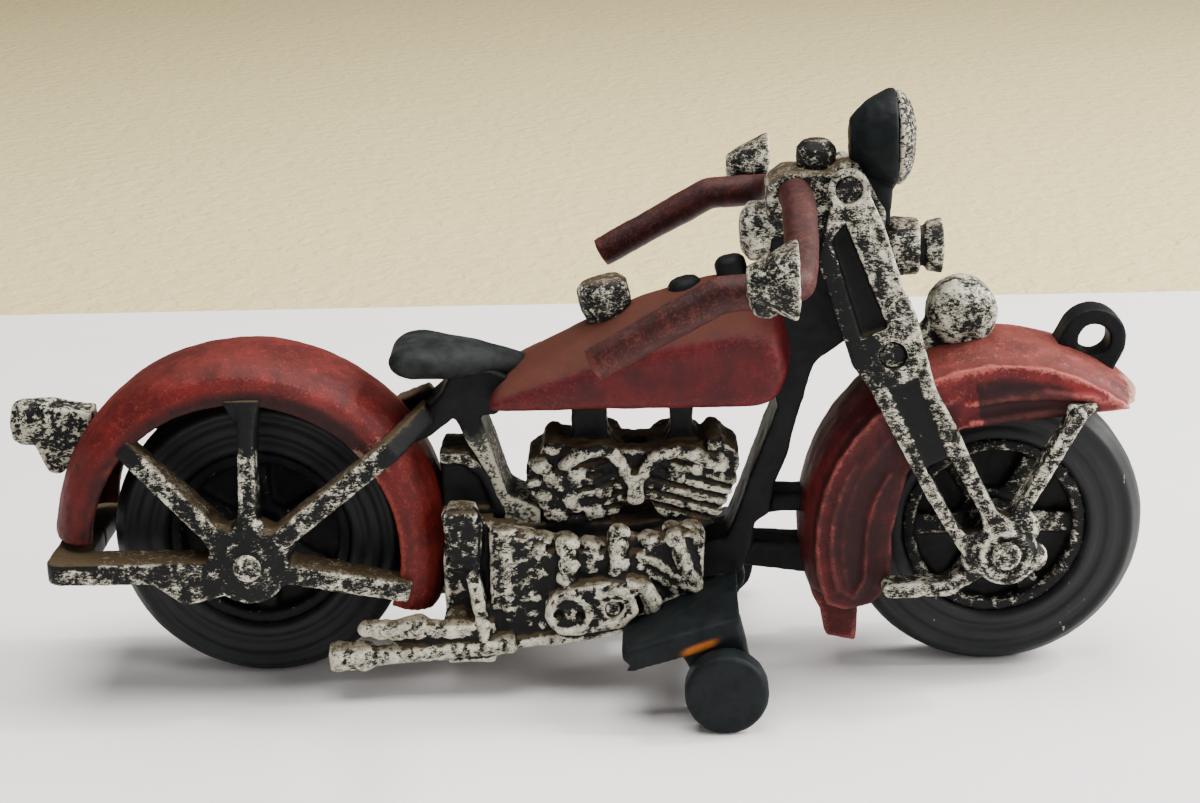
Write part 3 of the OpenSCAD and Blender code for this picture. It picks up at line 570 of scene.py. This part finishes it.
def side_pieces(side):
    """The castings of one side; side is -1 on the right and 1 on the left."""
    name = "right" if side < 0 else "left"

    def out(points):
        return points if side < 0 else mirrored(points)

    def engine_relief(bm):
        y = -7.5
        # inlet manifold, an M over the two cylinders, with the carburettor under it
        add_tube(bm, out([mid(-11.2, y, 14.8), mid(-8.4, y - 0.2, 17.1), mid(-5.0, y - 0.3, 18.2),
                          mid(-2.2, y - 0.3, 17.3), mid(-0.6, y, 14.8), mid(0.9, y - 0.2, 12.4)]),
                 [2.4, 3.2, 3.2, 2.8, 2.5, 2.6])
        add_tube(bm, out([mid(3.3, y - 0.2, 12.4), mid(4.6, y, 14.6), mid(6.8, y - 0.3, 16.7),
                          mid(9.9, y - 0.3, 17.6), mid(13.0, y - 0.2, 16.8), mid(16.2, y, 14.8)]),
                 [2.6, 2.5, 2.8, 3.2, 3.2, 2.4])
        add_box(bm, out([mid(2.1, y, 10.4)])[0], (3.0, 3.4, 5.4))
        add_ball(bm, out([mid(2.1, y - 0.6, 8.2)])[0], (3.6, 3.2, 3.0))
        # lumps of the cylinder heads and rocker boxes
        for x, z in ((-13.4, 17.6), (16.9, 17.9)):
            add_ball(bm, out([mid(x, -4.0, z)])[0], (4.2, 6.4, 4.0))
        for x, z, d in ((-15.6, 14.4, 4.4), (-13.4, 11.6, 5.0), (-9.4, 12.4, 5.2), (-15.2, 8.6, 4.4),
                        (-9.8, 7.4, 5.6), (-6.0, 5.4, 4.6), (-12.6, 4.6, 4.8), (-4.2, 9.0, 3.8),
                        (17.8, 14.4, 4.8), (13.6, 13.8, 5.0), (10.0, 13.2, 4.2)):
            add_ball(bm, out([mid(x, -6.2, z)])[0], (d, 3.6, d * 0.8), (0, 25, 0))
        # tappet towers with a ball at the foot, and the slanted pump
        for x, z_top, lean in ((-10.9, 2.2, 0.2), (-1.4, 4.2, 0.2)):
            add_tube(bm, out([mid(x - 0.2, -14.9, -5.2), mid(x, -15.0, -1.5),
                              mid(x + lean, -14.4, z_top - 0.6)]), [4.4, 3.4, 3.8])
            add_ball(bm, out([mid(x + lean + 0.4, -14.6, z_top)])[0], (4.2, 3.8, 2.6), (0, 20, 0))
            add_ball(bm, out([mid(x + 0.4, -15.7, -2.4)])[0], (3.8, 3.0, 3.6))
            add_ball(bm, out([mid(x + 4.0, -13.8, -3.4)])[0], (4.6, 3.2, 4.2))
        add_tube(bm, out([mid(9.2, -14.9, 2.8), mid(11.2, -15.5, -2.2), mid(13.1, -15.1, -7.0)]),
                 [3.2, 2.7, 3.1])
        add_tube(bm, out([mid(3.0, -14.6, -1.0), mid(6.4, -15.0, -2.6), mid(9.6, -14.8, -5.4),
                          mid(11.6, -14.6, -7.6)]), 1.6)
        add_tube(bm, out([mid(3.8, -14.8, -4.2), mid(6.8, -14.9, -5.6), mid(9.4, -14.5, -8.0)]), 1.5)
        for x, y_in, z, d in ((5.2, -12.4, 1.2, 6.0), (-6.2, -11.8, 0.4, 5.0), (-15.4, -11.0, 1.2, 6.0),
                              (-4.2, -12.6, -1.6, 4.4), (9.2, -10.4, 2.6, 5.0), (1.8, -11.0, 0.8, 4.6),
                              (-18.6, -11.8, 2.4, 5.4), (12.6, -10.6, 3.0, 4.6), (-11.0, -10.2, 0.8, 5.0)):
            add_ball(bm, out([mid(x, y_in, z)])[0], (d, 4.4, d * 0.62), (0, 18, 0))
        # timing cover: a ring at its rear end and a lobe at its front end
        ring = arc(lambda a, b, c: mid(-10.6 + a, b, -11.2 + c), 3.6, 0, 360, -18.1, 18)
        add_tube(bm, out(ring), 1.4)
        add_tube(bm, out([mid(-4.6, -17.9, -7.1), mid(-1.6, -18.0, -6.6), mid(1.0, -17.9, -8.2),
                          mid(1.6, -17.8, -11), mid(-0.6, -17.8, -13), mid(-4.8, -17.8, -13.6)]), 1.6)
        add_tube(bm, out([mid(0.6, -16.2, -6.0), mid(3.6, -16.4, -6.8), mid(5.0, -16.2, -9.8),
                          mid(4.6, -15.8, -12)]), [3.4, 3.2, 3.6, 2.8])
        # gear column: ribs of the quadrant, the lever below and the lumps around it
        for i in range(5):
            add_box(bm, out([mid(-30.9 + 0.25 * i, -14.7, 6.7 - i * 2.2)])[0], (5.8 - 0.2 * i, 2.2, 1.1),
                    (0, -3, 0))
        add_tube(bm, out([mid(-28.8, -15.0, -5.0), mid(-27.9, -16.2, -10.5), mid(-27.2, -16.6, -15.8)]),
                 [2.4, 2.0, 3.0])
        add_tube(bm, out([mid(-24.4, -12.6, 3.5), mid(-21.6, -13.3, 2.4), mid(-20.8, -13.2, -3.5),
                          mid(-20.0, -13.1, -9.5)]), [2.2, 3.2, 3.0, 2.4])
        for x, z, d in ((-16.6, -0.4, 4.6), (-15.8, -4.2, 4.4), (-17.0, -8.8, 4.2), (-15.6, -14.6, 5.4),
                        (-21.8, -15.4, 4.4), (-32.0, -14.2, 6.0), (-24.0, -11.0, 3.6)):
            add_ball(bm, out([mid(x, -12.8, z)])[0], (d, 4.4, d * 0.85))
        add_tube(bm, out([mid(-25.0, -14.2, -18.6), mid(-14, -15.0, -17.4), mid(-3, -15.2, -15.6),
                          mid(3, -14.8, -12.8)]), [2.4, 2.6, 2.8, 2.2])
        # rings on the silencer's end
        for x, d in ((14.6, 6.0), (19.4, 6.0)):
            add_rod(bm, out([rear(x, -16.6, -19.6)])[0], out([rear(x + 1.5, -16.6, -19.6)])[0], d)
        add_tube(bm, out([rear(21, -16.3, -14.2), rear(26, -16.5, -14.4), rear(31, -16.0, -13.6)]),
                 [3.4, 3.8, 4.2])

    def engine_pits(obj):
        for x, z in ((-12.7, -11.3), (-8.6, -11.6), (-1.2, -9.9)):
            dent(obj, out([mid(x, -18.2, z)])[0], 0.9, 1.2)

    def engine_zones(co, normal):
        x, z = co[:, 0] - MID_X, co[:, 2] - AXLE_Z
        y = np.abs(co[:, 1])
        top = step(z, 16.6, 19.4)
        inner = (1 - step(y, 3.5, 5.6)) * (z > 3)
        gap = step(z, -1.0, 0.5) * (1 - step(z, 2.6, 4.0)) * (1 - step(y, 7.0, 8.6)) * step(x, -19, -16)
        quadrant = (x < -26.5) * (z > -5) * (y > 12)
        arches = sum(np.exp(-(((x - a) / 2.3) ** 2) - (((z - c) / 3.4) ** 2))
                     for a, c in ((-3.8, 12.6), (6.8, 12.4)))
        behind = (1 - step(np.abs(x + 23), 3.5, 6.0)) * (1 - step(y, 8.5, 11.5))
        cover = (y > 15.5) * (z < -5)
        # dark: painted shade between the two halves, in the gap, under the manifold's arches and behind the
        # gear column; darker also along the top and on the gear quadrant
        return {"dark": np.clip(0.7 * top + inner + 0.9 * gap + 0.8 * arches * (y < 9.5) + behind
                                + 0.3 * quadrant, 0, 1.1),
                "pale": 0.4 * cover + 0.25 * (z > 8) * step(y, 5.5, 6.5)}

    cast(f"engine_{name}", [f"{n}_{name}" for n in ("cylinders", "crankcase", "gearbox", "exhaust")],
         ENGINE_SILVER, add=engine_relief, shape=engine_pits, rounds=2, dust=0.8,
         zones=engine_zones, clouds=((1.5, 0.55), (4.0, 0.3)))

    def stay_zones(co, normal):
        r = radius_from(co, REAR)
        x, y = co[:, 0] - REAR.x, np.abs(co[:, 1])
        above = co[:, 2] > REAR.z
        seat_arm = step(x, 24, 30) * above
        top_arm = step(r, 20, 25) * above * (np.abs(x) < 6)
        tail_arm = 0.5 * step(r, 27, 30) * above * (x < -6)
        hub = 1 - step(r, 8, 13)
        inner = 1 - step(y, 10.5, 12.5)
        # dark: painted shade on the arms under the fender and the saddle and on the inner faces by the
        # wheel
        dark = 0.05 + 0.15 * hub + 0.75 * seat_arm + 0.9 * top_arm + tail_arm + 0.5 * inner
        return {"dark": dark, "pale": 0.1 * (1 - step(r, 4, 8))}

    def stay_relief(bm):
        add_tube(bm, out(arc(rear, 3.9, 0, 360, -19.4, 14)), 1.3)
        add_ball(bm, out([rear(0, -18.4, 0)])[0], (14.5, 4.0, 14.5))
        for x, z in ((-5.0, 5.0), (5.6, 4.0), (0.2, 6.6), (5.4, -1.6), (-6.5, -1.6)):
            add_ball(bm, out([rear(x, -17.6, z)])[0], (6.5, 4.4, 6.0))

    cast(f"rear_stay_{name}", [f"rear_stay_{name}"], SILVER, add=stay_relief, rounds=3,
         dust=0.85, zones=stay_zones)

    def board_zones(co, normal):
        x, z, y = co[:, 0] - MID_X, co[:, 2] - AXLE_Z, np.abs(co[:, 1])
        across = z + 13.3 - 0.36 * (x - 13.4)
        chip = np.exp(-(((x - 13.4) / 2.9) ** 4) - ((across / 0.85) ** 4)) * step(y, 27, 28.5)
        return {"rust": np.clip(1.4 * chip, 0, 1)}

    def board_relief(bm):
        add_tube(bm, out([mid(0.4, -29.5, -17.6), mid(10.2, -29.7, -14.6), mid(20.6, -29.5, -10.6)]), 1.1)
        add_tube(bm, out([mid(0.2, -29.2, -15.2), mid(10.0, -29.4, -12.2), mid(20.4, -29.2, -8.2)]), 1.3)

    cast(f"footboard_{name}", [f"footboard_{name}"], BLACK_BLUE, add=board_relief, rounds=3,
         dust=0.35, zones=board_zones, clouds=((1.8, 0.12), (6.0, 0.3)))

    def blade_zones(co, normal):
        along = -(co[:, 0] - FRONT.x) * math.sin(RAKE) + (co[:, 2] - AXLE_Z) * math.cos(RAKE)
        across = (co[:, 0] - FRONT.x) * math.cos(RAKE) + (co[:, 2] - AXLE_Z) * math.sin(RAKE)
        face = BLADE_FACE - along * math.tan(SPLAY)
        panel = step(face - np.abs(co[:, 1]), 0.30, 0.7) * (across > -9.6) * (across < -1.4)
        panel = panel * (along > 18) * (along < 68)
        rail = (1 - step(across, -7.6, -5.6)) * step(along, 36, 44)
        rubbed = step(across, -1.6, -0.2) * step(along, 20, 34)
        # pale: rubbed paint on the front edge, with a painted highlight there too
        return {"dark": np.clip(0.9 * panel + 0.32 * rail, 0, 1),
                "pale": 0.45 * rubbed + 0.1 * (1 - step(along, 4, 10))}

    def blade_relief(bm):
        add_tube(bm, out(arc(front, 4.3, 0, 360, -19.9, 14)), 1.2)
        for x, z in ((3.6, 4.6), (-5.0, -1.6), (5.0, -1.2)):
            add_ball(bm, out([front(x, -17.8, z)])[0], (6.0, 4.0, 6.0))

    cast(f"fork_blade_{name}", [f"fork_blade_{name}"], SILVER, add=blade_relief, rounds=2,
         dust=0.35, zones=blade_zones, voxel=0.4 * MM, clouds=((1.4, 0.16), (5.0, 0.2)))

    def lamp_relief(bm):
        low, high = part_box(f"bar_lamp_{name}")
        middle = (low + high) / 2 / MM
        add_ball(bm, (low.x / MM + 3.4, middle.y - 0.15 * side, middle.z + 0.15), (6.6, 7.0, 7.0))

    def lamp_zones(co, normal):
        # pale: a painted highlight on the faces turned forward, towards the light
        return {"pale": 0.5 * step(normal[:, 0], 0.7, 0.95)}

    cast(f"bar_lamp_{name}", [f"bar_lamp_{name}"], SILVER, add=lamp_relief, rounds=4,
         dust=0.5, zones=lamp_zones, voxel=0.38 * MM, clouds=((1.5, 0.2), (4.0, 0.5)))


for side in (-1, 1):
    side_pieces(side)


def red_relief_front(bm):
    """Raised borders of the sunk panels on the front fender's flanks."""
    for side in (-1, 1):
        def out(points):
            return points if side < 0 else mirrored(points)
        y = -14.3
        add_tube(bm, out([front(-7, y, 27.4), front(0, y - 0.1, 28.6), front(8, y - 0.1, 29.0),
                          front(16, y, 28.0), front(21.4, y + 0.3, 27.0)]), [1.3, 1.7, 1.7, 1.6, 1.2])
        add_tube(bm, out([front(-6, y, 23.8), front(2, y, 25.0), front(9, y, 25.6), front(15, y, 25.6)]),
                 1.5)
        add_tube(bm, out(arc(front, 31.6, 150, 196, -14.0, 12)), 1.5)
        add_tube(bm, out(arc(front, 25.2, 146, 176, -14.2, 8) + [front(-25.4, -14.2, -6.5)]), 1.4)
        add_tube(bm, out([front(-25.4, -14.2, -6.5), front(-27.4, -14.2, -10.2),
                          front(-30.4, -13.8, -8.6)]), 1.4)


cast("front_fender", ["front_fender_right", "front_fender_left"], FRONT_RED,
     add=red_relief_front, rounds=4, dust=0.55, zones=front_fender_zones, clouds=((1.8, 0.12), (7.0, 0.5)))
cast("rear_fender", ["rear_fender_right", "rear_fender_left"], FENDER_RED, rounds=4, dust=0.45,
     zones=rear_fender_zones, clouds=((1.8, 0.10), (8.0, 0.5)))
cast("tank", ["tank_right", "tank_left"], TANK_RED, rounds=45, dust=0.9, zones=tank_zones,
     clouds=((1.8, 0.10), (8.0, 0.4)))


def frame_zones(co, normal):
    x, z = co[:, 0] - MID_X, co[:, 2] - AXLE_Z
    return {"pale": 1.25 * (1 - step(z, 17, 25)) * (1 - step(x, -17, -13)) * step(x, -32, -29)}


def box_zones(co, normal):
    z = co[:, 2] - AXLE_Z
    return {"dark": 1.2 * (1 - step(z, 13.4, 14.4))}


cast("frame_members", ["frame_right", "frame_left"], BLACK, rounds=4, dust=0.5,
     clouds=((1.8, 0.2), (6.0, 0.5)), zones=frame_zones)
cast("battery_box", ["battery_box"], SILVER, rounds=4, dust=0.9, zones=box_zones,
     clouds=((1.6, 0.3), (5.0, 0.6)))
cast("saddle", ["saddle"], SADDLE_BLACK, rounds=6, dust=0.3, clouds=((2.2, 0.10), (7.0, 0.35)))
cast("tail_lamp", ["tail_lamp"], BLACK_SILVER, rounds=5, dust=0.5,
     clouds=((1.5, 0.2), (4.0, 0.5)))
cast("tow_ring", ["tow_ring"], BLACK, rounds=5, dust=0.2, voxel=0.35 * MM,
     clouds=((1.5, 0.1), (4.0, 0.2)))
cast("fuel_cap", ["fuel_cap"], SILVER, rounds=5, dust=0.6, voxel=0.35 * MM,
     clouds=((1.5, 0.2), (4.0, 0.3)), zones=lambda co, normal: {"dark": np.full(len(co), 0.07)})
cast("tank_knobs", ["tank_knobs"], BLACK, rounds=4, dust=0.4, voxel=0.35 * MM,
     clouds=((1.5, 0.15), (4.0, 0.2)))
cast("steering_head", ["steering_head"], SILVER, rounds=14, dust=0.9,
     clouds=((1.5, 0.2), (4.0, 0.7)))
cast("handlebar", ["handlebar"], BAR_RED, rounds=5, dust=0.45, clouds=((1.8, 0.12), (6.0, 0.35)))
cast("headlamp_shell", ["headlamp_shell"], BLACK_BLUE, rounds=4, dust=0.2,
     clouds=((3.4, 0.5), (7.0, 0.6)))
cast("headlamp_lens", ["headlamp_lens"], BLACK_SILVER, rounds=4, dust=0.1,
     clouds=((2.4, 0.25), (5.0, 0.3)), voxel=0.4 * MM)
cast("horn", ["horn"], SILVER, rounds=4, dust=0.5, clouds=((1.5, 0.15), (4.0, 0.3)),
     voxel=0.4 * MM)
cast("fender_lamp", ["fender_lamp"], SILVER_BRIGHT, rounds=5, dust=0.35,
     clouds=((1.4, 0.25), (4.0, 0.3)), voxel=0.4 * MM)
cast("damper_knob", ["damper_knob"], SILVER_DARK, rounds=5, dust=0.4, voxel=0.35 * MM,
     clouds=((1.5, 0.2), (4.0, 0.3)))
cast("instrument_drum", ["instrument_drum"], SILVER_BRIGHT, rounds=6, dust=0.4,
     clouds=((1.5, 0.2), (4.0, 0.4)), voxel=0.4 * MM)
for pin, paint, slot in (("front_axle", SILVER, "worn_silver"), ("rear_axle", SILVER, "worn_silver"),
                         ("fork_pins", SILVER_DARK, "worn_black"), ("body_rivet", SILVER, "worn_silver")):
    cast(pin, [pin], paint, rounds=4, dust=0.1, voxel=0.35 * MM, clouds=((1.2, 0.12),))


# ---------------------------------------------------------------- wheels

def lathe(name, place, profile, segments):
    """A closed ring about the Y axis through place; profile is (radius, y) pairs in millimetres."""
    bm = bmesh.new()
    rings = []
    for i in range(segments):
        a = 2 * math.pi * i / segments
        rings.append([
            bm.verts.new((place + Vector((r * math.cos(a), y, r * math.sin(a)))) * MM)
            for r, y in profile
        ])
    count = len(profile)
    for i in range(segments):
        a, b = rings[i], rings[(i + 1) % segments]
        for j in range(count):
            k = (j + 1) % count
            bm.faces.new((a[j], b[j], b[k], a[k]))
    bmesh.ops.recalc_face_normals(bm, faces=bm.faces)
    return new_object(name, bm)


TYRE_HALF = 5.75
WIDEST = 5.88
TYRE_DEPTH = 11.0
RIDGE_H = 0.42
TREAD_ROOM = 0.15


def tyre_profile(inner):
    """Tyre section with a rounded tread and three soft ridges on each wall."""
    wall = []
    steps = 26
    for i in range(steps + 1):
        t = i / steps
        r = inner + t * (TYRE_R - inner - TREAD_ROOM)
        bulge = TYRE_HALF * (1 - max(0, (t - 0.62) / 0.38) ** 2.4 * 0.62)
        ridge = RIDGE_H * math.sin(t * 3 * 2 * math.pi - 0.6) * (1 - step(np.array(t), 0.78, 0.95))
        lip = -0.8 * (1 - float(step(np.array(t), 0, 0.08)))
        wall.append((r, min(bulge + float(ridge) + lip, WIDEST)))
    return wall + [(r, -y) for r, y in reversed(wall)]


def tyre(name, body, place):
    obj = lathe(name, place, tyre_profile(TYRE_R - TYRE_DEPTH), 220)
    roughen(obj, (2.5, 0.10), (9.0, 0.22))

    def zones(co, normal):
        return {"pale": 0.35 * step(radius_from(co, place), TYRE_R - 3.2, TYRE_R - 0.6)}

    mark_wear_and_painted_light(obj, 0, zones)
    return finish_piece(obj, RUBBER, body, [name])


def wheel(name, body, place, black):
    """A cast wheel centre; black says how much of it stays unrubbed."""
    def zones(co, normal):
        r = radius_from(co, place)
        return {"dark": black + 0.5 * (1 - step(np.abs(co[:, 1]), 2.2, 3.2)) + 0.25 * step(r, 15.0, 16.8)}

    cast(name, [name], SILVER, body=body, rounds=9, dust=0.0, zones=zones,
         clouds=((1.8, 0.35), (5.0, 0.6)))


tyre("rear_tyre", "rear_wheelset", REAR)
tyre("front_tyre", "front_wheelset", FRONT)
wheel("rear_wheel", "rear_wheelset", REAR, 0.38)
wheel("front_wheel", "front_wheelset", FRONT, 0.12)


def stabiliser(name, side):
    def relief(bm):
        ring = arc(lambda a, b, c: Vector((STAB.x + a, b, STAB.z + c)), 6.9, 0, 360, 34.5 * side, 28)
        add_tube(bm, ring, 0.9)
        add_ball(bm, (STAB.x, 34.0 * side, STAB.z), (4.6, 2.0, 4.6))

    cast(name, [name], BLACK_BLUE, body="stabiliser_wheelset", add=relief, rounds=4, dust=0.0,
         voxel=0.38 * MM, clouds=((1.8, 0.08), (5.0, 0.25)))


stabiliser("stabiliser_wheel_right", -1)
stabiliser("stabiliser_wheel_left", 1)
cast("stabiliser_axle", ["stabiliser_axle"], BLACK, body="stabiliser_wheelset",
     rounds=3, dust=0.0, voxel=0.35 * MM, clouds=((1.5, 0.05),))


# ---------------------------------------------------------------- stage, lights, camera

def plain_paint(name, colour, size, height, roughness):
    s = Shader(name)
    grain = s.noise(size, 4.0, 0.55, 0.6)
    tint = s.mix(s.noise(size * 12, 2.0, 0.5), colour, shade(colour, 0.93))
    return s.finish(tint, roughness, grain, height, 0.5)


GROUND = 3
PAPER_EDGE_Y = 0.27


def sheet(name, near, far, material):
    """A flat strip of ground from y = near to y = far."""
    bm = bmesh.new()
    corners = ((-GROUND, near, 0), (GROUND, near, 0), (GROUND, far, 0), (-GROUND, far, 0))
    bm.faces.new([bm.verts.new(c) for c in corners])
    obj = new_object(name, bm)
    obj.data.materials.append(material)
    return obj


paper = plain_paint("white paper", srgb(238, 234, 233), 3.0, 0.05, 0.8)
plaster = plain_paint("pale plaster", srgb(211, 194, 140), 7.0, 3.6, 0.9)
# white paper under the toy, and past its far edge the pale rough surface that the photograph shows
sheet("floor", -GROUND, PAPER_EDGE_Y, paper)
sheet("far_ground", PAPER_EDGE_Y, GROUND, plaster)


def softbox(name, place, target, size, power, colour):
    light = bpy.data.lights.new(name, "AREA")
    light.shape = "RECTANGLE"
    light.size, light.size_y = size
    light.energy = power
    light.color = colour
    obj = bpy.data.objects.new(name, light)
    bpy.context.scene.collection.objects.link(obj)
    obj.location = place
    obj.rotation_euler = (Vector(target) - Vector(place)).to_track_quat("-Z", "Y").to_euler()


softbox("window", (0.9, 0.12, 0.58), (0, 0, 0.04), (0.5, 0.5), 23, (1.0, 0.99, 0.97))
softbox("ceiling", (-0.05, 0.0, 1.1), (0, 0, 0), (1.0, 0.8), 21, (1.0, 0.99, 0.97))
softbox("lamp_near", (0.80, 0.20, 0.95), (0, 0, 0.04), (0.08, 0.08), 7, (1.0, 0.99, 0.96))
softbox("side", (0.75, -0.55, 0.45), (0, 0, 0.05), (0.4, 0.5), 5, (1.0, 1.0, 1.0))
softbox("room", (-0.4, -1.1, 0.5), (0, 0, 0.05), (1.0, 0.8), 2, (0.96, 0.98, 1.0))

world = bpy.data.worlds.new("room light")
world.use_nodes = True
world.node_tree.nodes["Background"].inputs["Color"].default_value = (1, 0.98, 0.95, 1)
world.node_tree.nodes["Background"].inputs["Strength"].default_value = 0.21
bpy.context.scene.world = world

VIEW_TARGET = Vector((0.00465, 0, 0.05333))
VIEW_DISTANCE = 0.43075
VIEW_AZIMUTH, VIEW_ELEVATION, VIEW_ROLL = (math.radians(a) for a in (1.53, 17.55, -1.56))
LENS_OVER_WIDTH = 2264 / 1200

back = Vector((math.sin(VIEW_AZIMUTH) * math.cos(VIEW_ELEVATION),
               -math.cos(VIEW_AZIMUTH) * math.cos(VIEW_ELEVATION), math.sin(VIEW_ELEVATION)))
level = Vector((math.cos(VIEW_AZIMUTH), math.sin(VIEW_AZIMUTH), 0))
up = back.cross(level)
right = level * math.cos(VIEW_ROLL) + up * math.sin(VIEW_ROLL)
above = up * math.cos(VIEW_ROLL) - level * math.sin(VIEW_ROLL)
camera_data = bpy.data.cameras.new("camera")
camera_data.sensor_fit = "HORIZONTAL"
camera_data.sensor_width = 36
camera_data.lens = camera_data.sensor_width * LENS_OVER_WIDTH
camera_data.clip_start = 0.01
camera = bpy.data.objects.new("camera", camera_data)
bpy.context.scene.collection.objects.link(camera)
camera.matrix_world = Matrix.Translation(VIEW_TARGET + back * VIEW_DISTANCE) @ Matrix(
    (right, above, back)).transposed().to_4x4()
bpy.context.scene.camera = camera
